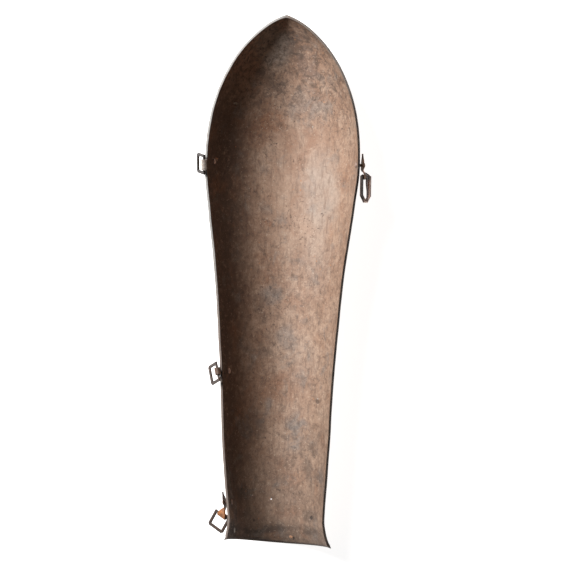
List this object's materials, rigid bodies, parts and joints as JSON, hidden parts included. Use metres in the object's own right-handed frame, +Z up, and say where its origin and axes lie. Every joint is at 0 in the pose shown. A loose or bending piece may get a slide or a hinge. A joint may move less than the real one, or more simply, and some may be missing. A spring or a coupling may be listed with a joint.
{
  "type": "arm guard",
  "caption": "Long curved iron forearm guard with a pointed elbow end, a flared wrist edge and small strap buckles riveted along its sides.",
  "frame": {"origin": "middle of the guard's footprint, on the surface that it lies on", "axes": "+Y runs from the wrist edge to the pointed elbow end, +Z up out of the hollow, +X toward the side that has a single buckle"},
  "size_m": [0.1088, 0.3316, 0.0473],
  "materials": {
    "iron": "brown patina, worn",
    "plate": "rusty",
    "rivet": "rusty",
    "frame": "rusty, dark",
    "tongue": "rusty, dark"
  },
  "bodies": {
    "guard": {"guard_plate": "iron", "buckle_plate_upper_left": "plate", "buckle_plate_middle_left": "plate", "buckle_plate_lower_left": "plate", "buckle_plate_upper_right": "plate", "buckle_rivet_upper_left": "rivet", "buckle_rivet_middle_left": "rivet", "buckle_rivet_lower_left": "rivet", "buckle_rivet_upper_right": "rivet"},
    "frame_upper_left": {"buckle_frame_upper_left": "frame"},
    "frame_middle_left": {"buckle_frame_middle_left": "frame"},
    "frame_lower_left": {"buckle_frame_lower_left": "frame"},
    "frame_upper_right": {"buckle_frame_upper_right": "frame"},
    "tongue_upper_right": {"buckle_tongue_upper_right": "tongue"}
  },
  "joints": [
    {"name": "frame_hinge_upper_left", "type": "hinge", "parent": "guard", "child": "frame_upper_left", "pos_m": [-0.04946, 0.07086, 0.04486], "axis": [0.0171, -0.978, -0.2079], "range_deg": [-260, 4]},
    {"name": "frame_hinge_middle_left", "type": "hinge", "parent": "guard", "child": "frame_middle_left", "pos_m": [-0.03907, -0.05695, 0.03925], "axis": [0.2008, -0.9448, 0.2588], "range_deg": [-232, 16]},
    {"name": "frame_hinge_lower_left", "type": "hinge", "parent": "guard", "child": "frame_lower_left", "pos_m": [-0.035, -0.14796, 0.02002], "axis": [0.7344, -0.4589, 0.5], "range_deg": [-121, 101]},
    {"name": "frame_hinge_upper_right", "type": "hinge", "parent": "guard", "child": "frame_upper_right", "pos_m": [0.05083, 0.06528, 0.03744], "axis": [-0.6428, 0, 0.766], "range_deg": [-10, 90]},
    {"name": "tongue_hinge_upper_right", "type": "hinge", "parent": "frame_upper_right", "child": "tongue_upper_right", "pos_m": [0.05083, 0.06528, 0.03744], "axis": [-0.6428, 0, 0.766], "range_deg": [0, 48]}
  ]
}
